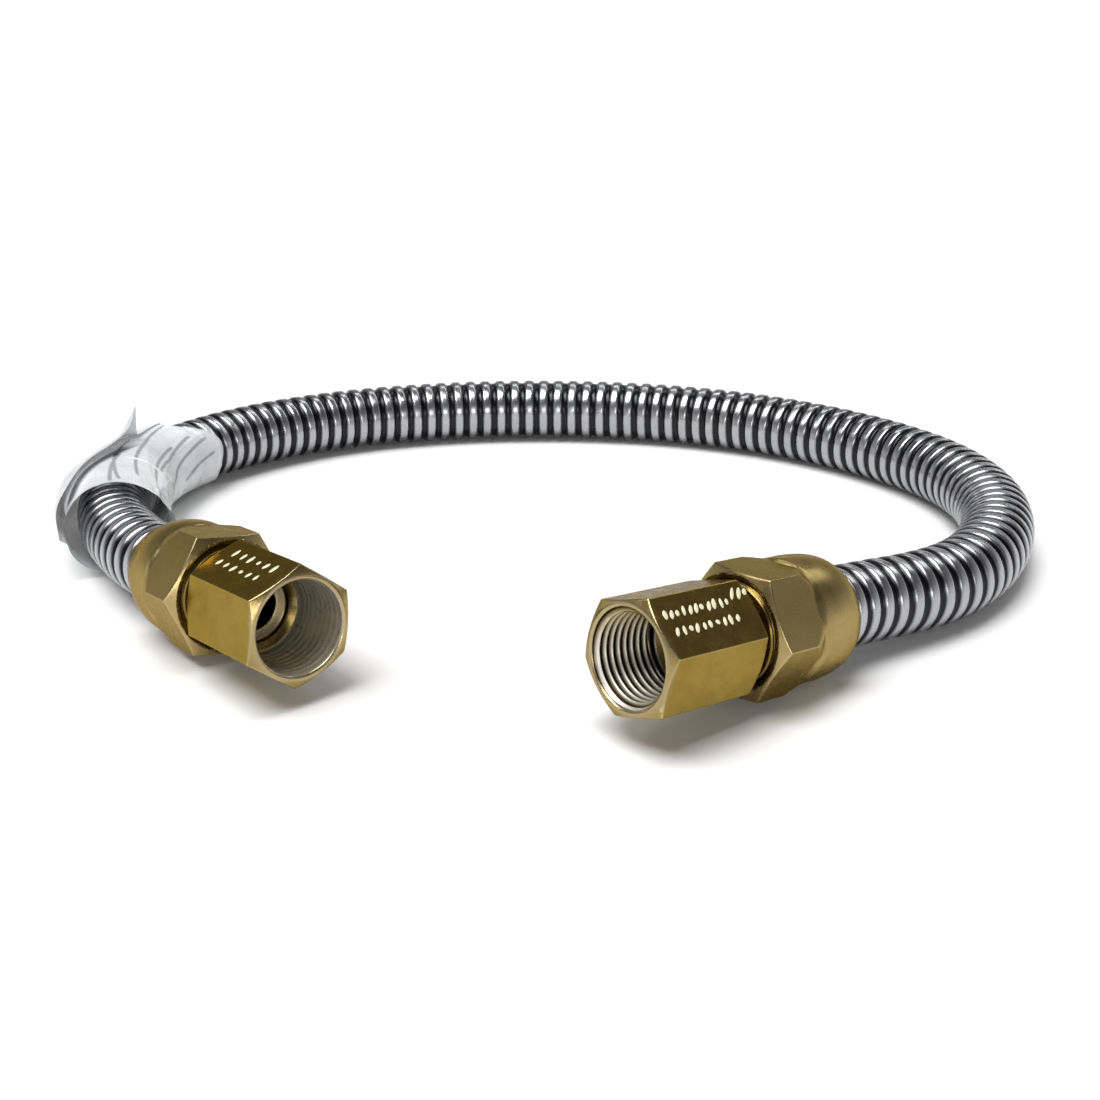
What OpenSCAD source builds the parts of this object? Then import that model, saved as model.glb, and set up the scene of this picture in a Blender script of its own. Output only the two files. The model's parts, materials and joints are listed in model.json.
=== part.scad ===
// Flexible corrugated metal gas hose, lying in an open loop, with a flare nut
// and a hexagonal pipe adaptor at each end and a film tag sleeved over the tube.
// Millimetres, +Z up, the nuts and the tube rest on z = 0.
// Each fitting is drawn along its own z axis: the socket mouth is at z = 0 and
// the fitting runs down to negative z, towards the tube.

/* [Hose] */
// Outside diameter over the corrugation crests
hose_od = 19.2; // [18.4:0.2:19.4]
// Equivalent wall thickness of the corrugated tube
hose_wall = 0.6; // [0.4:0.1:0.8]
// Sides of the swept tube
hose_sides = 12; // [8:4:12]
// Rings for each stretch between two route points
rings_per_step = 2; // [1:1:3]

/* [Pipe adaptor] */
// Width across the flats of the adaptor hexagon
adaptor_af = 23.8; // [23.6:0.1:24.6]
// Length of the adaptor hexagon
adaptor_hex_len = 28.5; // [27:0.25:29]
// Diameter of the threaded pipe socket wall
socket_d = 20.6; // [20:0.1:21]
// Depth of the threaded pipe socket
socket_depth = 17.5; // [15:0.5:20]
// Diameter of the gas passage through the adaptor
passage_d = 10.6; // [9:0.2:11]
// Diameter of the male flare thread
male_d = 23.5; // [23:0.1:23.6]

/* [Flare nut] */
// Width across the flats of the nut hexagon
nut_af = 27; // [26.6:0.1:27.2]
// Distance from the socket mouth to the front face of the nut
nut_front = 30.5; // [30:0.25:31]
// Length of the full hexagon before it fades into the collar
nut_hex_len = 12; // [10:0.5:13]
// Radius of the round collar behind the hexagon
collar_r = 14.5; // [14.2:0.1:15]
// Length of the collar's tapered rear shoulder
collar_rear = 9.5; // [8:0.5:10]
// Overall length of the nut
nut_len = 28.5; // [28:0.5:30]
// Radial clearance between the nut bore and the male thread
thread_gap = 0.07; // [0.02:0.01:0.1]

/* [Film tag] */
// Half the width of the film sleeve's open mouth
tag_half = 15.6; // [13:0.2:16]
// How much taller the sleeve's half height is at the mouth
tag_rise = 0.9; // [0.6:0.1:1.4]
// Thickness that stands for the doubled film
tag_film = 0.3; // [0.2:0.05:0.3]

/* [Placing] */
// Nose-up tilt of fitting A, which lies on its nut and on the tube
nose_up_a = 6; // [5:0.5:7]
// Nose-up tilt of fitting B
nose_up_b = 4; // [3:0.5:6]

/* [Hidden] */

// Fitting A is the right one, fitting B the left one.
// Each pose is mouth x, mouth y, yaw, nose-up tilt; the nut's collar touches z = 0.
pose_a = [31, -31.1, 220.5, nose_up_a];
pose_b = [-36.3, -12.2, -49.5, nose_up_b];
adaptor_roll_a = 47.5;
nut_roll_a = 31.5;
adaptor_roll_b = 51;
nut_roll_b = 21;

// Where the tube starts, behind the socket mouth, and the step of the straight ends
hose_start = 49;
end_step = 12;

// Route points of the tube's centreline from fitting A round to fitting B
route = [
    [113, 32, 9.6], [131, 59, 9.6], [139, 90, 9.6], [134, 121, 9.6], [116, 148, 9.6],
    [92, 169, 9.6], [64, 183, 9.6], [33, 190, 9.6], [1, 191, 9.6], [-30, 186, 9.6],
    [-60, 174, 9.8], [-86, 151, 10.4], [-102, 124, 10.6], [-106, 94, 10.7], [-97, 66, 10.9]];

hose_r = hose_od / 2;
ca = adaptor_af / 2;
male_r = male_d / 2;
nut_bore_r = male_r + thread_gap;
nut_end = nut_front + nut_len;
male_front = 31;
male_end = 42;

// Height of the socket mouth centre that sets the rear edge of the nut's collar on z = 0
function mouth_h(p) = (collar_r + 0.05) * cos(p[3]) + (nut_end - collar_rear) * sin(p[3]);
// A point on a fitting's axis, t millimetres behind its socket mouth
function on_axis(p, t) =
    [p[0] - t * cos(p[3]) * cos(p[2]), p[1] - t * cos(p[3]) * sin(p[2]), mouth_h(p) - t * sin(p[3])];

steps = [for (k = [-1 : 2]) hose_start + k * end_step];
ctrl = concat([for (t = steps) on_axis(pose_a, t)], route,
              [for (k = [3 : -1 : 0]) on_axis(pose_b, steps[k])]);
spans = len(ctrl) - 3;

// Uniform cubic B-spline through the route: point and direction at u in [0, spans]
function span_of(u) = min(floor(u), spans - 1);
function at(u) = let (i = span_of(u), f = u - i)
    ((1 - f) * (1 - f) * (1 - f) * ctrl[i] + (3 * f * f * f - 6 * f * f + 4) * ctrl[i + 1]
     + (-3 * f * f * f + 3 * f * f + 3 * f + 1) * ctrl[i + 2] + f * f * f * ctrl[i + 3]) / 6;
function slope(u) = let (i = span_of(u), f = u - i)
    (-(1 - f) * (1 - f) * ctrl[i] + (3 * f * f - 4 * f) * ctrl[i + 1]
     + (-3 * f * f + 2 * f + 1) * ctrl[i + 2] + f * f * ctrl[i + 3]) / 2;
function unit(v) = v / norm(v);
function side(u) = unit(cross(slope(u), [0, 0, 1]));
function over(u) = cross(side(u), unit(slope(u)));

// One ring of n points around centre c, sx wide and sz high, square to the route at u
function ring(u, c, sx, sz, n) =
    [for (k = [0 : n - 1]) c + sx * cos(360 * k / n) * side(u) + sz * sin(360 * k / n) * over(u)];

// A hollow tube from equal lists of outer and inner rings
module shell(outer, inner) {
    n = len(outer[0]);
    m = len(outer);
    pts = concat([for (r = outer) each r], [for (r = inner) each r]);
    o = n * m;
    polyhedron(pts, concat(
        [for (j = [0 : m - 2], k = [0 : n - 1]) each
            let (a = j * n + k, b = j * n + (k + 1) % n) [[a, b, a + n], [b, b + n, a + n]]],
        [for (j = [0 : m - 2], k = [0 : n - 1]) each
            let (a = o + j * n + k, b = o + j * n + (k + 1) % n) [[a, a + n, b], [b, a + n, b + n]]],
        [for (k = [0 : n - 1]) each
            let (a = k, b = (k + 1) % n) [[a, o + a, b], [b, o + a, o + b]]],
        [for (k = [0 : n - 1]) each
            let (a = (m - 1) * n + k, b = (m - 1) * n + (k + 1) % n) [[a, b, o + a], [b, o + b, o + a]]]));
}

// Puts a fitting drawn along z where fitting A or B lies
module place(p) {
    translate([p[0], p[1], mouth_h(p)]) rotate([0, 90 - p[3], p[2]]) children();
}

// Hexagonal bar from z = -front to z = -back, trimmed by the revolved outline in pts
module hex_bar(af, front, back, roll, pts) {
    intersection() {
        rotate([0, 0, roll]) translate([0, 0, -back]) cylinder(r = af / sqrt(3), h = back - front, $fn = 6);
        rotate_extrude($fn = 96) polygon(pts);
    }
}

module adaptor(roll) {
    ac = adaptor_af / sqrt(3);
    h = adaptor_hex_len;
    difference() {
        union() {
            hex_bar(adaptor_af, 0, h, roll,
                [[0, 0], [ca - 0.4, 0], [ac + 0.6, -1.3], [ac + 0.6, -h + 1.8], [ca - 0.5, -h], [0, -h]]);
            rotate_extrude($fn = 96) polygon([[0, -h + 1], [10.8, -h + 1], [10.8, -male_front],
                [male_r - 0.8, -male_front], [male_r, -male_front - 0.8], [male_r, -male_end + 0.75],
                [11, -male_end], [5.6, -male_end - 5.4], [0, -male_end - 5.4]]);
        }
        rotate_extrude($fn = 96) polygon([[0, 1], [socket_d / 2 + 1.3, 1], [socket_d / 2 + 0.3, 0],
            [socket_d / 2, -0.5], [socket_d / 2, -socket_depth], [7.9, -socket_depth - 1],
            [7.9, -socket_depth - 2], [0, -socket_depth - 2]]);
        translate([0, 0, -60]) cylinder(d = passage_d, h = 60, $fn = 64);
    }
}

module nut(roll) {
    f = nut_front;
    ac = nut_af / sqrt(3);
    he = f + nut_hex_len;
    difference() {
        union() {
            hex_bar(nut_af, f, he + 5, roll,
                [[0, -f], [nut_af / 2 - 0.5, -f], [ac + 0.6, -f - 1.7], [ac + 0.6, -he + 0.8],
                 [13, -he - 5], [0, -he - 5]]);
            rotate_extrude($fn = 96) polygon([[0, -he], [nut_af / 2 - 0.3, -he], [collar_r, -he - 3],
                [collar_r, -nut_end + collar_rear], [13.4, -nut_end + 2.4], [12.9, -nut_end + 1.2],
                [11.8, -nut_end], [0, -nut_end]]);
        }
        rotate_extrude($fn = 96) polygon([[0, -f + 1], [nut_bore_r + 0.9, -f + 1], [nut_bore_r + 0.9, -f],
            [nut_bore_r, -f - 0.9], [nut_bore_r, -(male_end + 13.85 - nut_bore_r - 1)],
            [hose_r + 0.35, -(male_end + 12.85 - hose_r - 0.35)], [hose_r + 0.35, -nut_end + 0.7],
            [hose_r + 0.8, -nut_end - 1], [0, -nut_end - 1]]);
    }
}

// Plain end of the tube, opened out at 45 degrees to seat on the adaptor's cone
module cuff() {
    e = male_end;
    rotate_extrude($fn = 96) polygon([[11, -e - 0.2], [11.2, -e - 0.3], [11.2, -e - 1.4], [8.6, -e - 4],
        [8.6, -e - 5.6], [9.3, -e - 6.2], [9.3, -hose_start - 0.3], [8, -hose_start - 0.3],
        [8, -e - 6.4], [7.6, -e - 6], [7.6, -e - 3.6]]);
}

module corrugated_hose() {
    color("lightsteelblue")
        let (n = spans * rings_per_step, us = [for (k = [0 : n]) k / rings_per_step])
            shell([for (u = us) ring(u, at(u), hose_r, hose_r, hose_sides)],
                  [for (u = us) ring(u, at(u), hose_r - hose_wall, hose_r - hose_wall, hose_sides)]);
}

module flare_cuff_a() { color("silver") place(pose_a) cuff(); }
module flare_cuff_b() { color("silver") place(pose_b) cuff(); }
module flare_nut_a() { color("darkgoldenrod") place(pose_a) nut(nut_roll_a); }
module flare_nut_b() { color("darkgoldenrod") place(pose_b) nut(nut_roll_b); }
module pipe_adaptor_a() { color("goldenrod") place(pose_a) adaptor(adaptor_roll_a); }
module pipe_adaptor_b() { color("goldenrod") place(pose_b) adaptor(adaptor_roll_b); }

// Film sleeve wrapped loosely round the tube's left bend: a shoulder close to the
// tube at one end, a wide flattened open mouth at the other. It lies on z = 0.
tag_from = 14.2;
tag_to = 17;
tag_rings = 9;
tag_tight = 10.6;
function tag_u(k) = tag_from + (tag_to - tag_from) * k / (tag_rings - 1);
function tag_grow(k) = k / (tag_rings - 1);
function tag_ring(k, skin) =
    let (u = tag_u(k), c = at(u), g = tag_grow(k), h = tag_tight + tag_rise * g, w = tag_tight + (tag_half - tag_tight) * g)
    ring(u, [c[0], c[1], h + 0.1] - 0.4 * g * side(u), w - skin, h - skin, 16);
module warning_tag() {
    color("gainsboro", 0.6)
        shell([for (k = [0 : tag_rings - 1]) tag_ring(k, 0)],
              [for (k = [0 : tag_rings - 1]) tag_ring(k, tag_film)]);
}

corrugated_hose();
flare_cuff_a();
flare_cuff_b();
flare_nut_a();
flare_nut_b();
pipe_adaptor_a();
pipe_adaptor_b();
warning_tag();
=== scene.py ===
import json
import math

import bpy
import numpy as np
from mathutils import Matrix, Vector


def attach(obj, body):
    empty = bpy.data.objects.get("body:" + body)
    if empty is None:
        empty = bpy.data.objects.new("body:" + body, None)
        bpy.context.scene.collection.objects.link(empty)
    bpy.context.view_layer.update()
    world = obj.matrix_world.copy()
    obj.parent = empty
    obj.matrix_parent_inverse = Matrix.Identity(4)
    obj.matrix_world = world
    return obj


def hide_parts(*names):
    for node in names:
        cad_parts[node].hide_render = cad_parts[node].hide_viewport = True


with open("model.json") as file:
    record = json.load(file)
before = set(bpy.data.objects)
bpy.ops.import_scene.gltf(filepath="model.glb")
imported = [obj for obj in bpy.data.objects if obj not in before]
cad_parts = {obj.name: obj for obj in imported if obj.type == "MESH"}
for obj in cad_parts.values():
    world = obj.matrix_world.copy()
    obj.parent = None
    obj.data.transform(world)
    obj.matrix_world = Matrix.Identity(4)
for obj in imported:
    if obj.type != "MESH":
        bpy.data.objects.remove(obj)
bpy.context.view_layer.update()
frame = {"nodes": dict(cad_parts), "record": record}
record = frame["record"]
RNG = np.random.default_rng(7)

# ---------------------------------------------------------------- camera
cam_data = bpy.data.cameras.new("camera")
cam_data.sensor_width = 36.0
cam_data.lens = 36.0 * 1500.0 / 1100.0
cam_data.clip_start = 0.01
cam = bpy.data.objects.new("camera", cam_data)
cam.location = (0.0159, -0.3003, 0.145)
cam.rotation_euler = (math.radians(90 - 20.8), 0.0, 0.0)
bpy.context.scene.collection.objects.link(cam)
bpy.context.scene.camera = cam

# ---------------------------------------------------------------- poses of the two fittings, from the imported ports
MM = 0.001
ports = {m["name"][-1]: m for m in record["mounts"] if m["name"].startswith("port_")}
PORT_DEPTH = 9.0


def fitting_frame(key):
    """Origin at the socket mouth and the three axes of a fitting, in millimetres."""
    m = ports[key]
    ez = np.array(m["axis"], float)
    ez /= np.linalg.norm(ez)
    o = np.array(m["pos_m"], float) / MM + ez * PORT_DEPTH
    ey = np.cross([0.0, 0.0, 1.0], ez)
    ey /= np.linalg.norm(ey)
    ex = np.cross(ey, ez)
    return o, ex, ey, ez


FRAMES = {k: fitting_frame(k) for k in "ab"}
ROLL = {"a": {"adaptor": 47.5, "nut": 31.5}, "b": {"adaptor": 51.0, "nut": 21.0}}

# sizes repeated from the design, in millimetres
HOSE_R = 9.6
ROOT_R = 8.7
ADAPTOR_AF = 23.8
ADAPTOR_LEN = 28.5
NUT_AF = 27.0
NUT_FRONT = 30.5
NUT_END = 59.0
NUT_HEX = 12.0
COLLAR_R = 14.5
COLLAR_REAR = 9.5
SOCKET_R = 10.3
SOCKET_DEPTH = 17.5
PASSAGE_R = 5.3
MALE_FRONT, MALE_END, MALE_R = 31.0, 42.0, 11.75
FLARE_PITCH = 25.4 / 16
PIPE_PITCH = 25.4 / 14
PIPE_DEPTH = {"a": 1.12, "b": 0.16}
HOSE_START, END_STEP = 49.0, 12.0

ROUTE = [
    (113, 32, 9.6), (131, 59, 9.6), (139, 90, 9.6), (134, 121, 9.6), (116, 148, 9.6),
    (92, 169, 9.6), (64, 183, 9.6), (33, 190, 9.6), (1, 191, 9.6), (-30, 186, 9.6),
    (-60, 174, 9.8), (-86, 151, 10.4), (-102, 124, 10.6), (-106, 94, 10.7), (-97, 66, 10.9),
]


# ---------------------------------------------------------------- the route, as in the design
def on_axis(key, t):
    o, ex, ey, ez = FRAMES[key]
    return o - ez * t


STEPS = [HOSE_START + k * END_STEP for k in (-1, 0, 1, 2)]
CTRL = np.array(
    [on_axis("a", t) for t in STEPS]
    + [np.array(p, float) for p in ROUTE]
    + [on_axis("b", t) for t in reversed(STEPS)]
)
SPANS = len(CTRL) - 3


def spline(u):
    """Points and directions of the uniform cubic B-spline at the numbers u."""
    u = np.atleast_1d(np.asarray(u, float))
    i = np.minimum(np.floor(u).astype(int), SPANS - 1)
    f = (u - i)[:, None]
    c = [CTRL[i + k] for k in range(4)]
    p = ((1 - f) ** 3 * c[0] + (3 * f**3 - 6 * f**2 + 4) * c[1] + (-3 * f**3 + 3 * f**2 + 3 * f + 1) * c[2] + f**3 * c[3]) / 6
    d = (-((1 - f) ** 2) * c[0] + (3 * f**2 - 4 * f) * c[1] + (-3 * f**2 + 2 * f + 1) * c[2] + f**2 * c[3]) / 2
    return p, d / np.linalg.norm(d, axis=1)[:, None]


FINE_U = np.linspace(0, SPANS, SPANS * 120 + 1)
FINE_P = spline(FINE_U)[0]
FINE_S = np.concatenate([[0], np.cumsum(np.linalg.norm(np.diff(FINE_P, axis=0), axis=1))])
HOSE_LEN = float(FINE_S[-1])


def at_length(s):
    return spline(np.interp(s, FINE_S, FINE_U))


def ring_axes(d):
    side = np.cross(d, [0.0, 0.0, 1.0])
    side /= np.linalg.norm(side, axis=1)[:, None]
    return side, np.cross(side, d)


# ---------------------------------------------------------------- mesh helpers
def link(me, name):
    o = bpy.data.objects.new(name, me)
    bpy.context.scene.collection.objects.link(o)
    return o


def signed_volume(p, f):
    a = p[f[:, 0]]
    return float((a * np.cross(p[f[:, 1]], p[f[:, 2]]) + a * np.cross(p[f[:, 2]], p[f[:, 3]])).sum())


def grid_faces(nu, nv, close_u, close_v):
    iu = np.arange(nu if close_u else nu - 1)
    iv = np.arange(nv if close_v else nv - 1)
    a, b = np.meshgrid(iu, iv, indexing="ij")
    a2, b2 = (a + 1) % nu, (b + 1) % nv
    return np.stack([a * nv + b, a * nv + b2, a2 * nv + b2, a2 * nv + b], -1).reshape(-1, 4)


def mesh_from(name, pts_mm, faces, smooth=True):
    me = bpy.data.meshes.new(name)
    me.from_pydata((np.asarray(pts_mm) * MM).tolist(), [], np.asarray(faces).tolist())
    me.validate()
    if smooth:
        me.shade_smooth()
    return link(me, name)


def paint_points(o, **values):
    """Numbers per mesh point that the materials read, such as how deep in a groove it lies: tone for painted shade (on
    the film also its printed strokes) and light for painted highlight.
    """
    for key, v in values.items():
        at = o.data.attributes.new(key, "FLOAT", "POINT")
        at.data.foreach_set("value", np.ascontiguousarray(v, np.float32).ravel())


def closed_grid(name, grid, close_u=True, **values):
    """A piece from an (nu, nv, 3) grid that closes round v, and round u too if asked."""
    nu, nv = grid.shape[:2]
    p, f = grid.reshape(-1, 3), grid_faces(nu, nv, close_u, True)
    if signed_volume(p, f) < 0:
        f = f[:, ::-1]
    o = mesh_from(name, p, f)
    assert len(o.data.vertices) == nu * nv
    paint_points(o, **values)
    return o


def smin(a, b, k):
    h = np.clip(0.5 + 0.5 * (b - a) / k, 0, 1)
    return b * (1 - h) + a * h - k * h * (1 - h)


def smax(a, b, k):
    return -smin(-a, -b, k)


def steps(a, b, size):
    n = max(1, int(round(abs(b - a) / size)))
    return list(np.linspace(a, b, n, endpoint=False))


# ---------------------------------------------------------------- angles with more points at the hexagon's corners
HALF = np.array([0, 0.35, 0.75, 1.2, 1.8, 2.6, 3.8, 5.5, 8, 11, 14.5, 18, 22, 26, 30])


def hex_angles(roll):
    sector = np.concatenate([HALF, 60 - HALF[1:-1][::-1]])
    return np.radians(np.concatenate([roll + 60 * k + sector for k in range(6)]))


def hex_radius(theta, af, roll, k=0.16):
    """Distance from the axis to a hexagon whose corners are at roll + 60 n, the corners just broken."""
    t = (np.degrees(theta) - roll) % 60
    left = af / 2 / np.cos(np.radians(t - 30))
    nearest = np.minimum(t, 60 - t)
    other = af / 2 / np.cos(np.radians(np.minimum(nearest + 30, 80)))
    return smin(left, other, k)


def thread_wave(x):
    """A truncated thread form over phase x: 0 at the root, 1 at the crest."""
    tri = 1 - np.abs(2 * (x % 1.0) - 1)
    return np.clip(1.3 * tri - 0.13, 0, 1)


def ramp(x, a, b):
    f = np.clip((x - a) / (b - a), 0, 1)
    return f * f * (3 - 2 * f)


def flare_thread(theta, t):
    """Radius of the male flare thread; the nut's thread is the same surface a little wider."""
    phase = t / FLARE_PITCH + theta / (2 * math.pi)
    return 10.93 + 0.82 * thread_wave(phase)


def lathe(name, key, theta, stations):
    """A closed piece round a fitting's axis. Each station is (t behind the mouth, radius or function of the angle),
    optionally followed by tone (painted shade, 1 for none) and light (painted highlight, 0 for none).
    """
    o, ex, ey, ez = FRAMES[key]
    c, s = np.cos(theta)[:, None], np.sin(theta)[:, None]
    rows, tones, lights = [], [], []
    for t, r, *more in stations:
        r = r(theta, t) if callable(r) else np.full(len(theta), float(r))
        rows.append(o + r[:, None] * (c * ex + s * ey) - ez * t)
        for out, v in zip((tones, lights), (list(more) + [1.0, 0.0][len(more):])):
            out.append(v(theta, t) if callable(v) else np.full(len(theta), float(v)))
    return closed_grid(name, np.array(rows), tone=np.array(tones), light=np.array(lights))


def profile(points):
    """Piecewise-linear radius over t."""
    ts, rs = zip(*points)
    return lambda t: float(np.interp(t, ts, rs))


# ---------------------------------------------------------------- adaptor
def adaptor(key):
    roll = ROLL[key]["adaptor"]
    theta = hex_angles(roll)
    hexr = hex_radius(theta, ADAPTOR_AF, roll)
    half, h = ADAPTOR_AF / 2, ADAPTOR_LEN
    front = profile([(0, half - 0.5), (0.18, half - 0.08), (1.3, half + 1.9), (3, half + 6)])
    rear = profile([(h - 5, half + 9), (h - 2.1, half + 2.2), (h - 0.95, half + 0.35), (h - 0.25, half - 0.55), (h, half - 1.0)])

    def skin(_, t):
        return smin(hexr, min(front(t), rear(t)), 0.22)

    def pipe(th, t):
        phase = t / PIPE_PITCH + th / (2 * math.pi)
        root = SOCKET_R + 0.12 - (t - 1.0) / 32
        depth = PIPE_DEPTH[key] * float(ramp(t, 0.5, 1.6)) * float(1 - ramp(t, SOCKET_DEPTH - 2.6, SOCKET_DEPTH - 1.0))
        return root - depth * thread_wave(phase)

    # painted shade in the thread roots: deep for a, slight for b
    def pipe_painted_shade(th, t):
        wave = thread_wave(t / PIPE_PITCH + th / (2 * math.pi))
        return 0.92 + 0.08 * wave if key == "b" else np.clip(1.5 * wave - 0.32, 0.03, 1)

    # painted highlight on a's thread crests, strongest toward 325 degrees; b's whole bore wall is painted lighter
    def pipe_painted_light(th, t):
        wave = thread_wave(t / PIPE_PITCH + th / (2 * math.pi))
        return 0.44 + 0.06 * wave if key == "b" else np.clip(1.6 * wave - 0.5, 0, 1) * (0.06 + 0.80 * (0.5 + 0.5 * np.cos(th - math.radians(325))) ** 1.6)

    def male(th, t):
        limit = min(MALE_R - 0.85 + max(0.0, t - MALE_FRONT), MALE_R - 0.85 + max(0.0, (MALE_END - t) * 1.1))
        return smin(flare_thread(th, t), limit, 0.08)

    # painted highlight on the front face, fading over the front chamfer
    face_painted_light = 0.10
    st = [(0.0, r, 1, face_painted_light) for r in (SOCKET_R + 0.62, SOCKET_R + 0.85, SOCKET_R + 1.05)]
    st += [(t, skin, 1, face_painted_light * (1 - t / 2.4) ** 2) for t in [0.02] + steps(0.1, 2.4, 0.11)]
    st += [(t, skin) for t in steps(2.4, h - 3.6, 1.3) + steps(h - 3.6, h - 0.05, 0.11) + [h - 0.03]]
    # tone 0.6 and 0.7 on the neck and the male thread inside the nut is painted shade
    st += [(h, half - 1.05), (h + 0.02, 10.95), (h + 0.1, 10.75), (h + 0.5, 10.6, 0.7), (MALE_FRONT - 0.5, 10.6, 0.6), (MALE_FRONT - 0.08, 10.7, 0.6)]
    st += [(t, male, 0.6) for t in steps(MALE_FRONT, MALE_END, FLARE_PITCH / 13)]
    st += [(MALE_END, 10.75), (MALE_END + 0.25, 10.7), (MALE_END + 2.6, 8.35), (MALE_END + 5.0, 5.95), (MALE_END + 5.32, 5.65), (MALE_END + 5.4, 5.5)]
    # tone 0.1 and 0.05 deep in the passage is painted shade
    st += [(MALE_END + 5.38, 5.36), (MALE_END + 5.1, PASSAGE_R), (MALE_END, PASSAGE_R, 0.1), (32, PASSAGE_R, 0.05), (25, PASSAGE_R, 0.05)]
    bottom = SOCKET_DEPTH + 2
    # tone below 1 round the socket bottom and low on the socket wall is painted shade; light 0.25 on the bottom step
    # paints a lighter ring, a painted highlight
    st += [(bottom + 0.45, PASSAGE_R, 0.2), (bottom + 0.1, PASSAGE_R + 0.12, 0.6), (bottom, PASSAGE_R + 0.45, 0.75, 0.25), (bottom, 7.3, 0.75, 0.25), (bottom - 0.1, 7.7, 0.5), (bottom - 0.4, 7.9, 0.25)]
    st += [(SOCKET_DEPTH + 1.15, 7.92, 0.2), (SOCKET_DEPTH + 0.9, 8.1, 0.3), (SOCKET_DEPTH + 0.1, 9.5, 0.4)]
    st += [(t, pipe, pipe_painted_shade, pipe_painted_light) for t in reversed(steps(0.45, SOCKET_DEPTH, PIPE_PITCH / 14))]
    # light 0.2 and 0.15 on the mouth's lip is painted highlight
    st += [(0.3, SOCKET_R + 0.28, 1, 0.2), (0.08, SOCKET_R + 0.5, 1, 0.15)]
    return lathe("adaptor_body_" + key, key, theta, st)


# ---------------------------------------------------------------- flare nut
def flare_nut(key):
    roll = ROLL[key]["nut"]
    theta = hex_angles(roll)
    hexr = hex_radius(theta, NUT_AF, roll)
    half, f = NUT_AF / 2, NUT_FRONT
    he = f + NUT_HEX
    bore = MALE_R + 0.07
    front = profile([(f, half - 0.75), (f + 0.22, half - 0.3), (f + 1.7, half + 2.7), (f + 3, half + 8)])
    cr = COLLAR_R - (0.3 if key == "a" else 0.55)
    back = profile([(he - 5, half + 9), (he - 2.2, half + 2.25), (he + 1.4, cr + 0.05), (he + 2.2, cr - 0.1), (he + 6, cr - 3)])
    tail = {
        "a": [(9.5, cr), (7.6, 14.1), (5.8, 13.92), (4.2, 13.7), (3.0, 13.4), (2.0, 13.05), (1.2, 12.62), (0.5, 12.15), (0, 11.75)],
        "b": [(11, cr), (9, 13.75), (7.2, 13.42), (5.4, 12.95), (3.8, 12.4), (2.4, 11.9), (1.2, 11.45), (0.5, 11.1), (0, 10.85)],
    }[key]
    collar = profile([(he, half - 1.2), (he + 0.8, half - 0.35), (he + 1.6, half + 0.25), (he + 2.4, cr - 0.08), (he + 3.2, cr)] + [(NUT_END - d, r) for d, r in tail])

    def skin(_, t):
        r = smin(hexr, min(front(t), back(t)), 0.35 if t > he - 4 else 0.22)
        return smax(r, np.full_like(r, collar(t)), 0.4) if t > he else r

    def inner(th, t):
        limit = bore + max(0.0, 0.9 - (t - f))
        return smax(flare_thread(th, t) + 0.1, np.full_like(th, limit - 0.9 if t > f + 0.95 else limit), 0.06)

    hose_gap = HOSE_R + 0.35
    rim = tail[-1][1]
    # tone 0.6 on the bore's front lip is painted shade
    st = [(f, bore + 0.95, 0.6), (f, bore + 1.2), (f, half - 1.0)]
    st += [(t, skin) for t in [f + 0.01] + steps(f + 0.08, f + 3.0, 0.12) + steps(f + 3.0, he - 2.8, 1.2)]
    st += [(t, skin) for t in steps(he - 2.8, he + 4.6, 0.14) + steps(he + 4.6, NUT_END - 3, 0.7) + steps(NUT_END - 3, NUT_END - 0.02, 0.22)]
    # tone 0.3 and 0.1 round the hose inside the back of the nut is painted shade
    st += [(NUT_END, rim - 0.05), (NUT_END, 0.5 * (rim + hose_gap + 0.6)), (NUT_END - 0.05, hose_gap + 0.5), (NUT_END - 0.35, hose_gap + 0.15, 0.3), (NUT_END - 0.8, hose_gap, 0.1)]
    cone = MALE_END + 12.85
    st += [(NUT_END - 6, hose_gap, 0.1), (cone - hose_gap + 0.2, hose_gap, 0.1), (cone - hose_gap - 0.15, hose_gap + 0.2), (cone - bore - 0.02, bore)]
    st += [(t, inner) for t in reversed(steps(f + 0.02, cone - bore - 0.1, FLARE_PITCH / 13))]
    return lathe("flare_nut_body_" + key, key, theta, st)


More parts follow.
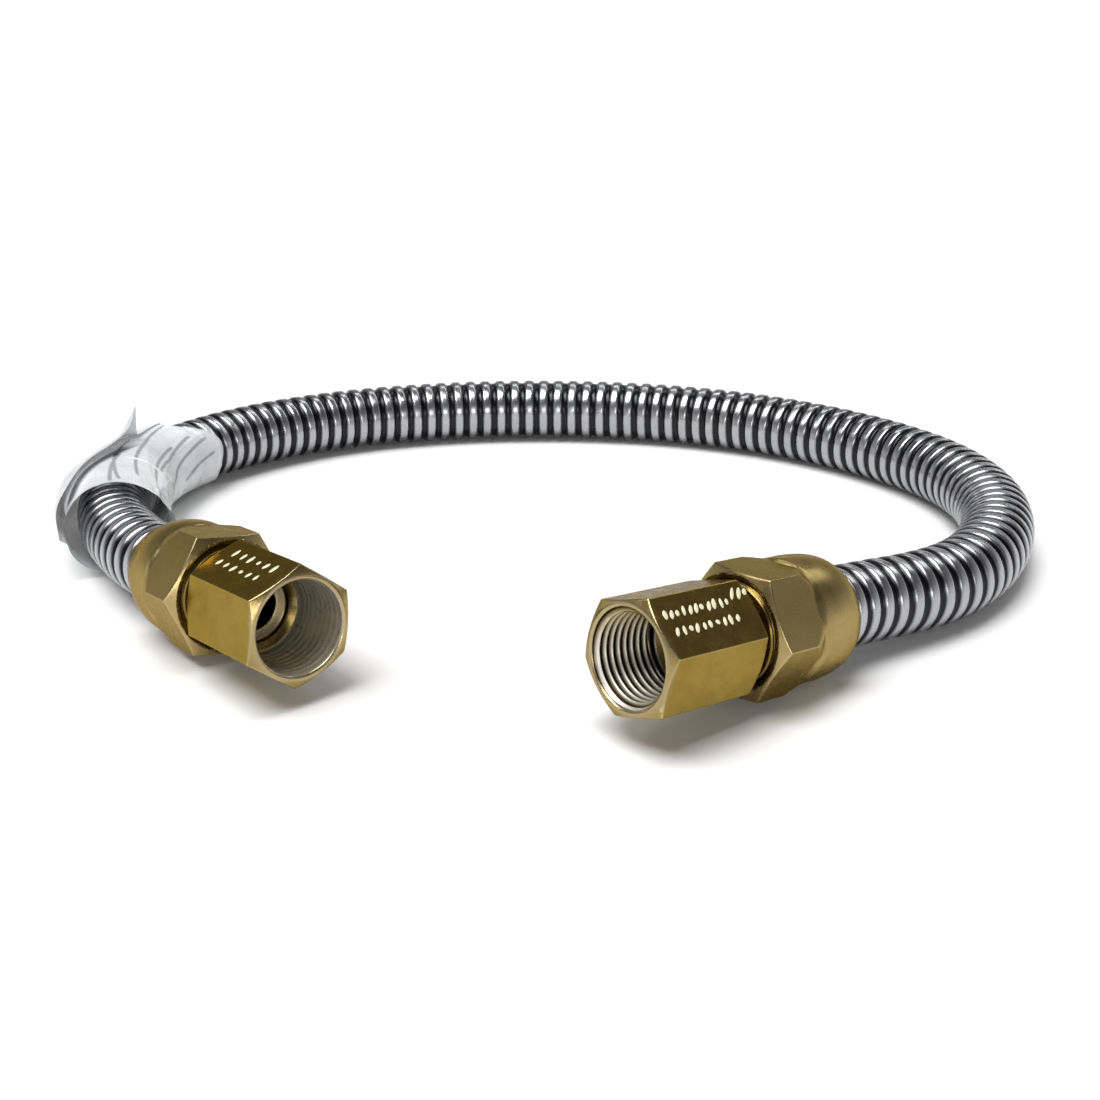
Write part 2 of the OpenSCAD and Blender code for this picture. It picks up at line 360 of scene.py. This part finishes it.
# ---------------------------------------------------------------- stamped check marks: plain raised dashes, no lettering, in a pale cream that paints the glints they catch (painted highlight)
def stamp_marks(key, facet, rows, height=0.16):
    """Small raised ticks in rows on one flat of the adaptor. rows is (distance across the flat, first t, last t, spacing, length, slant)."""
    o, ex, ey, ez = FRAMES[key]
    a = math.radians(ROLL[key]["adaptor"] + 60 * facet + 30)
    n = math.cos(a) * ex + math.sin(a) * ey
    tan = -math.sin(a) * ex + math.cos(a) * ey
    pts, faces = [], []
    nu, nv = 5, 12
    for across, t0, t1, gap, long, slant in rows:
        for n_mark, t in enumerate(np.arange(t0, t1, gap)):
            size = long * RNG.uniform(0.8, 1.15) * (0.55 if n_mark % 4 == 2 else 1.0)
            w = 1.05 * RNG.uniform(0.85, 1.2)
            turn = math.radians(slant + RNG.uniform(-9, 9))
            u = math.cos(turn) * tan - math.sin(turn) * ez
            v = math.sin(turn) * tan + math.cos(turn) * ez
            c = o + n * (ADAPTOR_AF / 2 - 0.05) + tan * (across + RNG.uniform(-0.15, 0.15)) - ez * (t + RNG.uniform(-0.2, 0.2))
            base = len(pts)
            for i in range(nu):
                rr, hh = (1.0, 0.0) if i == 0 else (math.cos(i / nu * math.pi / 2), height * math.sin(i / nu * math.pi / 2))
                for j in range(nv):
                    b = 2 * math.pi * j / nv
                    pts.append(c + u * rr * size * 0.5 * math.cos(b) + v * rr * w * 0.5 * math.sin(b) + n * hh)
            pts.append(c + n * height)
            pts.append(c - n * 0.02)
            for i in range(nu - 1):
                for j in range(nv):
                    faces.append([base + i * nv + j, base + i * nv + (j + 1) % nv, base + (i + 1) * nv + (j + 1) % nv, base + (i + 1) * nv + j])
            top, low = base + nu * nv, base + nu * nv + 1
            for j in range(nv):
                faces.append([base + (nu - 1) * nv + j, base + (nu - 1) * nv + (j + 1) % nv, top])
                faces.append([base + (j + 1) % nv, base + j, low])
    me = bpy.data.meshes.new("stamp_marks_" + key)
    me.from_pydata([tuple(p * MM) for p in pts], [], faces)
    me.validate()
    me.shade_smooth()
    return link(me, "stamp_marks_" + key)


# ---------------------------------------------------------------- corrugated tube
PITCH = 4.9


def corrugated_tube():
    """Annular corrugations with broad rounded crests, swept along the route, with a plain inner wall. Its tone is
    painted shade: dark towards the groove roots and on the inner wall.
    """
    sides, per = 64, 13
    plain = 2.2
    n = int(round((HOSE_LEN - 2 * plain) / PITCH))
    pitch = (HOSE_LEN - 2 * plain) / n
    s = np.concatenate([[0, 0.6, 1.4], plain + np.arange(n * per + 1) * pitch / per, HOSE_LEN - np.array([1.4, 0.6, 0])])
    x = (s - plain) / pitch
    wave = np.tanh(2.8 * (np.cos(2 * np.pi * (x - 0.5)) + 0.24)) / math.tanh(2.8 * 1.24)
    wave = np.clip(0.5 + 0.5 * wave, 0, 1)
    body = ramp(s, plain - 0.2, plain + 0.8) * (1 - ramp(s, HOSE_LEN - plain - 0.8, HOSE_LEN - plain + 0.2))
    crest = HOSE_R - 0.05 * RNG.random(n + 2)[np.clip(np.floor(x).astype(int) + 1, 0, n + 1)]
    crest = np.convolve(np.pad(crest, 8, mode="edge"), np.ones(17) / 17, "valid")
    r = (9.25 + 0 * s) * (1 - body) + (ROOT_R + (crest - ROOT_R) * wave) * body
    p, d = at_length(s)
    side, over = ring_axes(d)
    a = 2 * np.pi * np.arange(sides) / sides
    ring = np.cos(a)[None, :, None] * side[:, None, :] + np.sin(a)[None, :, None] * over[:, None, :]
    outer = p[:, None, :] + r[:, None, None] * ring
    si = np.linspace(HOSE_LEN, 0, int(HOSE_LEN / 5))
    pi, di = at_length(si)
    sidei, overi = ring_axes(di)
    ringi = np.cos(a)[None, :, None] * sidei[:, None, :] + np.sin(a)[None, :, None] * overi[:, None, :]
    inner = pi[:, None, :] + 7.45 * ringi
    # painted shade: tone follows the corrugation, darkest at the roots, 0.7 on the plain ends, 0.05 on the inner wall
    tone = np.clip(wave, 0, 1) * body + 0.7 * (1 - body)
    tone = np.concatenate([np.repeat(tone, sides), np.full(len(si) * sides, 0.05)])
    return closed_grid("hose_tube", np.concatenate([outer, inner]), tone=tone)


# ---------------------------------------------------------------- film tag
TAG_FROM, TAG_TO = 14.2, 17.0
TAG_GRID = (170, 260)
FIRST_EDGE = 28.0
# STROKES are plain printed lines with no lettering; GLINTS are painted highlights, whitish bands on the film
STROKES = [
    [(0.02, 91), (0.33, 108), (0.79, 119)], [(0.27, 135), (0.40, 138), (0.80, 145)], [(0.11, 132), (0.37, 147), (0.90, 147)],
    [(0.06, 144), (0.34, 164), (0.53, 185)], [(0.06, 170), (0.30, 186)], [(0.52, 92), (0.96, 87)], [(0.29, 83), (0.93, 97)],
]
GLINTS = [[(0.57, 105), (0.54, 148), (0.78, 147)], [(0.48, 157), (0.50, 178)]]


def near_line(x, y, points, width):
    """1 on a broken line through points, falling to 0 at half the width from it."""
    best = np.full(x.shape, 1e9)
    for (x0, y0), (x1, y1) in zip(points[:-1], points[1:]):
        dx, dy = x1 - x0, y1 - y0
        f = np.clip(((x - x0) * dx + (y - y0) * dy) / (dx * dx + dy * dy), 0, 1)
        best = np.minimum(best, np.hypot(x - x0 - f * dx, y - y0 - f * dy))
    return 1 - ramp(best, width * 0.3, width * 0.5)


def film_tag():
    """A strip of film rolled once round the tube and overlapping itself, as one open sheet.

    The angle runs round the section from the hidden under edge to the free outer edge:
    0 is the outward side, 90 the top, 180 the inner side, 270 the floor side."""
    nu, nv = TAG_GRID
    F, W = np.meshgrid(np.linspace(0, 1, nu), np.linspace(0, 1, nv), indexing="ij")
    free = np.interp(F, [0, 0.2, 0.33, 0.5, 0.75, 0.9, 1], [440, 451, 451, 436, 411, 396, 386])
    A = FIRST_EDGE + (free - FIRST_EDGE) * W
    bend = np.radians(A)
    ca, sa = np.cos(bend), np.sin(bend)
    up = np.clip(sa, 0, 1)
    u_end = TAG_TO + 0.08 - 0.16 * up + 0.05 * np.sin(3 * bend + 0.4) + 0.06 * ramp(A, 250, 330) + 0.30 * np.exp(-(((A - 165) / 38) ** 2))
    u_start = TAG_FROM + 0.22 + 0.42 * np.exp(-(((A % 360) - 85) / 42) ** 2) + 0.03 * np.sin(4 * bend)
    U = u_start + (u_end - u_start) * F
    p, d = spline(U.ravel())
    side, over = ring_axes(d)
    p, d, side, over = (x.reshape(nu, nv, 3) for x in (p, d, side, over))
    g = np.clip((U - TAG_FROM) / (TAG_TO - TAG_FROM), 0, 1.06)
    # the section: tight at the back, opened towards the mouth, fuller above than below
    out_up, out_low = 10.7 + 3.9 * g**0.9, 10.7 + 2.5 * g**0.9
    inner_half = 10.7 + 4.1 * g**0.9 - 2.6 * ramp(g, 0.72, 1.06)
    half = np.where(ca < 0, inner_half, np.where(sa > 0, out_up, out_low))
    high = np.where(sa > 0, 10.7 + 0.75 * g, 10.7 + 0.05 * g)
    power = 2.0 + 0.3 * g
    shape = (np.abs(ca) ** power + np.abs(sa) ** power) ** (-1 / power)
    flap = ramp(A, 318, 400)
    lift = flap * (0.45 + 0.9 * ramp(g, 0.1, 0.6)) + 1.1 * ramp(W, 0.9, 1.0) * ramp(g, 0.15, 0.5)
    inner_bulge = 0.9 * np.exp(-(((A - 196) / 34) ** 2)) * ramp(g, 0.05, 0.5)
    # a blunt fold along the outward side and shallow creases
    fold = 0.75 * np.exp(-(((A - 389) / 10) ** 2)) * ramp(g, 0.3, 0.7) - 0.5 * np.exp(-(((A - 410) / 12) ** 2)) * ramp(g, 0.3, 0.7)
    crease = lambda a, k, w, h: h * np.exp(-np.abs(A - a - k * (g - 0.5)) / w)
    wrinkle = (
        0.12 * np.sin(bend * 5 + 9 * g) * ramp(g, 0, 0.3)
        + 0.10 * np.sin(bend * 3 - 12 * g + 1.3)
        + crease(118, 70, 5, 0.34) - crease(96, -50, 5, 0.30) + crease(150, 40, 4, 0.30)
        + crease(172, -60, 6, 0.32) - crease(134, 15, 4, 0.22) + crease(330, 60, 5, 0.3)
    )
    q = p.copy()
    q[..., 2] = high + 0.20
    q -= 0.35 * g[..., None] * side
    q += ((half + lift * 0.8 + inner_bulge + fold + wrinkle) * shape * ca)[..., None] * side
    q += ((high + lift * 0.5 + fold * 0.7 + wrinkle * 0.7) * shape * sa)[..., None] * over
    # the free edge is drawn out into a narrow point that stands up
    off = F - 0.28
    peak = np.where(off > 0, np.exp(-np.abs(off / 0.06) ** 0.9), np.exp(-np.abs(off / 0.016) ** 1.6))
    tip = np.clip((W - 0.945) / 0.055, 0, 1) ** 1.25 * peak
    q[..., 2] += 9.3 * tip
    q -= (1.0 * tip)[..., None] * d
    q -= (0.9 * tip)[..., None] * side
    # nothing goes into the tube or under the surface it lies on
    rel = q - p
    xs, ys, zs = (rel * side).sum(-1), (rel * over).sum(-1), (rel * d).sum(-1)
    rr = np.hypot(xs, ys)
    grow = np.maximum((9.95 + 0.35 * ramp(A, 270, 330)) / rr, 1.0)
    q = p + (xs * grow)[..., None] * side + (ys * grow)[..., None] * over + zs[..., None] * d
    q[..., 2] = np.maximum(q[..., 2], 0.14)
    # painted shade on the film: the dark slit beside the free edge, the shade on the layer under the flap and on the
    # flap itself; darker along the two cut ends; plain printed strokes with no lettering; the glints are painted
    # highlights
    slit_shade = np.exp(-(((A - (free - 360) - 9) / 9) ** 4)) * ramp(F, 0.30, 0.45) * (1 - ramp(F, 0.93, 1.0))
    # painted shade on the inner layer beneath the flap, near the mouth
    under = 0.6 * ramp(A, 305, 335) * (1 - ramp(A, 372, 388)) * ramp(g, 0.5, 0.7) * (1 - ramp(g, 0.9, 0.99))
    flap_shade = 0.22 * ramp(A, 386, 398) * ramp(g, 0.3, 0.5)
    rim = np.maximum(1 - ramp(1 - F, 0.0, 0.02), 0.8 * (1 - ramp(F, 0.0, 0.02)))
    stroke = np.zeros_like(A)
    glint = np.zeros_like(A)
    for line in STROKES:
        stroke = np.maximum(stroke, near_line(F * 86, A / 3.4, [(f * 86, a / 3.4) for f, a in line], 1.6))
    for line in GLINTS:
        glint = np.maximum(glint, near_line(F * 86, A / 3.4, [(f * 86, a / 3.4) for f, a in line], 2.6))
    shade = np.clip(1 - 0.97 * slit_shade - under - flap_shade - 0.35 * rim * (A < 300) - 0.55 * stroke, 0, 1)
    area = 0.5 * (
        np.linalg.norm(np.cross(q[1:, :-1] - q[:-1, :-1], q[:-1, 1:] - q[:-1, :-1]), axis=-1)
        + np.linalg.norm(np.cross(q[1:, 1:] - q[1:, :-1], q[1:, 1:] - q[:-1, 1:]), axis=-1)
    ).sum()
    o = mesh_from("film_tag", q.reshape(-1, 3), grid_faces(nu, nv, False, False))
    paint_points(o, tone=shade, light=glint)
    return o, float(area)


tube = corrugated_tube()
adaptors = {k: adaptor(k) for k in "ab"}
nuts = {k: flare_nut(k) for k in "ab"}
tag, tag_area_mm2 = film_tag()
marks = {
    # the third, larger row on a is a painted reflection: bright marks where a spot of reflected light shows at the rear
    # of the flat
    "a": stamp_marks("a", 1, [(2.7, 3.2, 22.0, 1.75, 2.6, 20), (-1.2, 4.2, 22.5, 1.9, 2.2, 20), (4.0, 23.4, 27.0, 1.7, 3.2, 30)]),
    "b": stamp_marks("b", 2, [(-2.8, 6.0, 24, 3.2, 2.6, 10), (1.0, 7.5, 24, 3.2, 2.2, 10)]),
}


# ---------------------------------------------------------------- materials
def new_material(name):
    m = bpy.data.materials.new(name)
    m.use_nodes = True
    nt = m.node_tree
    nt.nodes.clear()
    out = nt.nodes.new("ShaderNodeOutputMaterial")
    bsdf = nt.nodes.new("ShaderNodeBsdfPrincipled")
    nt.links.new(bsdf.outputs[0], out.inputs[0])
    return m, nt, bsdf


def noise(nt, coord, scale, detail=4.0, rough=0.55, stretch=None):
    src = coord
    if stretch is not None:
        mp = nt.nodes.new("ShaderNodeMapping")
        mp.inputs["Scale"].default_value = stretch
        nt.links.new(coord, mp.inputs[0])
        src = mp.outputs[0]
    n = nt.nodes.new("ShaderNodeTexNoise")
    n.inputs["Scale"].default_value = scale
    n.inputs["Detail"].default_value = detail
    n.inputs["Roughness"].default_value = rough
    nt.links.new(src, n.inputs["Vector"])
    return n.outputs["Fac"]


def ramp_node(nt, fac, stops):
    r = nt.nodes.new("ShaderNodeValToRGB")
    el = r.color_ramp.elements
    while len(el) > 1:
        el.remove(el[-1])
    el[0].position, el[0].color = stops[0][0], stops[0][1]
    for pos, col in stops[1:]:
        e = el.new(pos)
        e.color = col
    nt.links.new(fac, r.inputs[0])
    return r.outputs[0]


def map_range(nt, fac, lo, hi, a=0.0, b=1.0):
    m = nt.nodes.new("ShaderNodeMapRange")
    m.inputs["From Min"].default_value = a
    m.inputs["From Max"].default_value = b
    m.inputs["To Min"].default_value = lo
    m.inputs["To Max"].default_value = hi
    nt.links.new(fac, m.inputs[0])
    return m.outputs[0]


def mix(nt, fac, a, b, mode="MIX"):
    m = nt.nodes.new("ShaderNodeMix")
    m.data_type = "RGBA"
    m.blend_type = mode
    for sock, v in ((m.inputs[0], fac), (m.inputs[6], a), (m.inputs[7], b)):
        if isinstance(v, (int, float)):
            sock.default_value = v
        elif isinstance(v, tuple):
            sock.default_value = v
        else:
            nt.links.new(v, sock)
    return m.outputs[2]


def add(nt, a, b, op="ADD"):
    m = nt.nodes.new("ShaderNodeMath")
    m.operation = op
    for sock, v in ((m.inputs[0], a), (m.inputs[1], b)):
        if isinstance(v, (int, float)):
            sock.default_value = v
        else:
            nt.links.new(v, sock)
    return m.outputs[0]


def bump(nt, bsdf, height, strength, distance):
    b = nt.nodes.new("ShaderNodeBump")
    b.inputs["Strength"].default_value = strength
    b.inputs["Distance"].default_value = distance
    nt.links.new(height, b.inputs["Height"])
    nt.links.new(b.outputs[0], bsdf.inputs["Normal"])


def attribute(nt, name):
    n = nt.nodes.new("ShaderNodeAttribute")
    n.attribute_name = name
    return n.outputs["Fac"]


def brass(name, base, dark, rough=(0.16, 0.34), bored=True):
    m, nt, bsdf = new_material(name)
    tc = nt.nodes.new("ShaderNodeTexCoord")
    co = tc.outputs["Object"]
    big = noise(nt, co, 55, 3)
    mid = noise(nt, co, 320, 5, 0.6)
    fine = noise(nt, co, 1400, 3, 0.6)
    geo = nt.nodes.new("ShaderNodeNewGeometry")
    edge = map_range(nt, geo.outputs["Pointiness"], 0.0, 1.0, 0.5, 0.58)
    col = ramp_node(nt, big, [(0.3, dark), (0.62, base)])
    col = mix(nt, map_range(nt, mid, 0.0, 0.35, 0.35, 0.8), col, (dark[0] * 0.8, dark[1] * 0.72, dark[2] * 0.6, 1))
    col = mix(nt, map_range(nt, edge, 0.0, 0.45), col, (0.72, 0.60, 0.34, 1))
    # light mixes in a pale colour, painted highlight; tone mixes in near black, painted shade
    if bored:
        col = mix(nt, attribute(nt, "light"), col, (0.88, 0.87, 0.83, 1))
        col = mix(nt, attribute(nt, "tone"), (0.012, 0.010, 0.007, 1), col)
    nt.links.new(col, bsdf.inputs["Base Color"])
    r = map_range(nt, mid, rough[0], rough[1], 0.25, 0.8)
    if bored:
        # where light is painted the surface is also rougher and less metallic
        painted_light_amount = attribute(nt, "light")
        r = add(nt, r, map_range(nt, painted_light_amount, 0.0, 0.14))
        nt.links.new(map_range(nt, painted_light_amount, 1.0, 0.35), bsdf.inputs["Metallic"])
    nt.links.new(r, bsdf.inputs["Roughness"])
    if not bored:
        bsdf.inputs["Metallic"].default_value = 1.0
    bsdf.inputs["Specular Tint"].default_value = (0.62, 0.54, 0.40, 1)
    bump(nt, bsdf, add(nt, mid, fine), 0.04, 0.0003)
    return m


def steel(name, base, rough, scratch=0.05, grooved=False):
    m, nt, bsdf = new_material(name)
    tc = nt.nodes.new("ShaderNodeTexCoord")
    co = tc.outputs["Object"]
    big = noise(nt, co, 40, 3)
    mid = noise(nt, co, 260, 4, 0.6)
    fine = noise(nt, co, 1800, 3, 0.6)
    geo = nt.nodes.new("ShaderNodeNewGeometry")
    groove = map_range(nt, geo.outputs["Pointiness"], 0.0, 1.0, 0.40, 0.53)
    col = ramp_node(nt, big, [(0.3, tuple(0.9 * x for x in base[:3]) + (1,)), (0.7, base)])
    # grooved: tone turns the colour near black toward the groove roots, painted shade; otherwise hollows found by
    # pointiness are darkened, also painted shade
    if grooved:
        tone = attribute(nt, "tone")
        col = mix(nt, map_range(nt, tone, 0.0, 1.0, 0.42, 0.9), (0.026, 0.026, 0.030, 1), col)
    else:
        col = mix(nt, groove, (0.10, 0.10, 0.115, 1), col)
    nt.links.new(col, bsdf.inputs["Base Color"])
    nt.links.new(map_range(nt, mid, rough[0], rough[1], 0.25, 0.8), bsdf.inputs["Roughness"])
    bsdf.inputs["Metallic"].default_value = 1.0
    bump(nt, bsdf, add(nt, mid, fine), scratch, 0.0003)
    return m


def film(name):
    m, nt, bsdf = new_material(name)
    tc = nt.nodes.new("ShaderNodeTexCoord")
    co = tc.outputs["Object"]
    big = noise(nt, co, 45, 4)
    mid = noise(nt, co, 210, 5, 0.65)
    col = ramp_node(nt, big, [(0.3, (0.66, 0.67, 0.68, 1)), (0.7, (0.84, 0.85, 0.86, 1))])
    # tone mixes in near black: painted shade, and on the tag the printed strokes; light mixes in near white: painted
    # highlights. Darker painted shade is also more opaque.
    tone = attribute(nt, "tone")
    col = mix(nt, tone, (0.012, 0.012, 0.013, 1), col)
    col = mix(nt, attribute(nt, "light"), col, (0.93, 0.93, 0.93, 1))
    nt.links.new(col, bsdf.inputs["Base Color"])
    nt.links.new(map_range(nt, mid, 0.22, 0.42, 0.3, 0.75), bsdf.inputs["Roughness"])
    alpha = add(nt, map_range(nt, big, 0.76, 0.93, 0.3, 0.7), map_range(nt, tone, 0.25, 0.0), "MAXIMUM")
    alpha = add(nt, alpha, map_range(nt, tone, 0.97, 0.72), "MAXIMUM")
    nt.links.new(alpha, bsdf.inputs["Alpha"])
    bsdf.inputs["IOR"].default_value = 1.45
    bsdf.inputs["Specular IOR Level"].default_value = 0.6
    bump(nt, bsdf, add(nt, mid, big), 0.25, 0.0006)
    m.surface_render_method = "DITHERED"
    return m


BRASS_NUT = brass("nut_brass_machined", (0.40, 0.305, 0.135, 1), (0.33, 0.245, 0.10, 1), (0.2, 0.38))
BRASS_ADAPTOR = brass("adaptor_brass_machined", (0.325, 0.23, 0.062, 1), (0.27, 0.185, 0.045, 1))
# the marks' pale cream, barely metallic colour is painted highlight: it stands in for the glints the stamps catch
BRASS_MARK_PAINTED_GLINT = brass("stamped_brass_painted_glint", (0.90, 0.86, 0.66, 1), (0.80, 0.74, 0.52, 1), (0.3, 0.45), bored=False)
BRASS_MARK_PAINTED_GLINT.node_tree.nodes["Principled BSDF"].inputs["Metallic"].default_value = 0.25
STEEL_TUBE = steel("tube_steel_rolled", (0.43, 0.433, 0.445, 1), (0.2, 0.34), grooved=True)
STEEL_CUFF = steel("cuff_steel_satin", (0.66, 0.67, 0.69, 1), (0.25, 0.4))
FILM = film("tag_film_translucent")


def paint(o, m):
    o.data.materials.clear()
    o.data.materials.append(m)


paint(tube, STEEL_TUBE)
paint(tag, FILM)
for k in "ab":
    paint(adaptors[k], BRASS_ADAPTOR)
    paint(nuts[k], BRASS_NUT)
    paint(marks[k], BRASS_MARK_PAINTED_GLINT)
    cuff = frame["nodes"]["flare_cuff_" + k]
    for i in range(len(cuff.material_slots)):
        cuff.material_slots[i].material = STEEL_CUFF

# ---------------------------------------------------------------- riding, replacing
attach(tube, "hose")
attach(tag, "hose")
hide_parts("corrugated_hose")
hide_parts("warning_tag")
for k in "ab":
    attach(adaptors[k], "adaptor_" + k)
    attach(marks[k], "adaptor_" + k)
    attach(nuts[k], "nut_" + k)
    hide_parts("pipe_adaptor_" + k)
    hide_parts("flare_nut_" + k)

# ---------------------------------------------------------------- floor and light
me = bpy.data.meshes.new("floor")
B = 60.0
me.from_pydata([(-B, -B, 0), (B, -B, 0), (B, B, 0), (-B, B, 0)], [], [(0, 1, 2, 3)])
floor = link(me, "floor")
fm, fnt, fb = new_material("floor_pale")
fb.inputs["Base Color"].default_value = (0.82, 0.82, 0.82, 1)
fb.inputs["Roughness"].default_value = 0.75
fb.inputs["Specular IOR Level"].default_value = 0.2
fc = fnt.nodes.new("ShaderNodeTexCoord")
fl = fnt.nodes.new("ShaderNodeVectorMath")
fl.operation = "LENGTH"
fnt.links.new(fc.outputs["Object"], fl.inputs[0])
fb.inputs["Emission Color"].default_value = (1, 1, 1, 1)
fnt.links.new(map_range(fnt, fl.outputs["Value"], 0.0, 0.34, 0.45, 1.7), fb.inputs["Emission Strength"])
paint(floor, fm)

world = bpy.data.worlds.new("world")
world.use_nodes = True
wt = world.node_tree
wc = wt.nodes.new("ShaderNodeTexCoord")
ws = wt.nodes.new("ShaderNodeSeparateXYZ")
wt.links.new(wc.outputs["Generated"], ws.inputs[0])
sky = ramp_node(wt, ws.outputs["Z"], [
    (0.0, (1.0, 1.0, 1.0, 1)), (0.08, (0.93, 0.93, 0.93, 1)), (0.18, (0.60, 0.60, 0.60, 1)), (0.34, (0.34, 0.34, 0.34, 1)),
    (0.50, (0.17, 0.17, 0.17, 1)), (0.70, (0.10, 0.10, 0.10, 1)), (1.0, (0.08, 0.08, 0.08, 1)),
])
wt.links.new(sky, wt.nodes["Background"].inputs[0])
wt.nodes["Background"].inputs[1].default_value = 1.0
bpy.context.scene.world = world


def area(name, loc, aim, size, power, color=(1, 1, 1)):
    d = bpy.data.lights.new(name, "AREA")
    d.shape = "RECTANGLE"
    d.size, d.size_y = size
    d.energy = power
    d.color = color
    o = bpy.data.objects.new(name, d)
    o.location = loc
    o.rotation_euler = (Vector(aim) - Vector(loc)).to_track_quat("-Z", "Y").to_euler()
    bpy.context.scene.collection.objects.link(o)
    return o


area("key_top", (0.02, -0.02, 1.25), (0.02, 0.06, 0), (0.62, 0.17), 3.6)
area("soft_right", (0.77, 0.70, 0.80), (0.07, 0.0, 0.02), (0.34, 0.28), 0.85)
area("soft_left", (-0.86, 0.0, 0.95), (0.05, 0.0, 0.02), (0.36, 0.3), 1.6)
area("strip_back", (0.25, 0.86, 0.90), (0.05, 0.05, 0.02), (0.9, 0.14), 1.6)
area("fill_front", (0.25, -1.25, 0.34), (-0.02, 0.0, 0.02), (0.7, 0.3), 3.2)
sun_data = bpy.data.lights.new("sun_soft", "SUN")
sun_data.energy = 2.75
sun_data.angle = math.radians(38)
sun = bpy.data.objects.new("sun_soft", sun_data)
sun.rotation_euler = (math.radians(12), math.radians(-16), 0)
bpy.context.scene.collection.objects.link(sun)

sc = bpy.context.scene
sc.view_settings.view_transform = "Standard"
sc.view_settings.look = "None"

print("hose length", HOSE_LEN, "tag area mm2", tag_area_mm2)
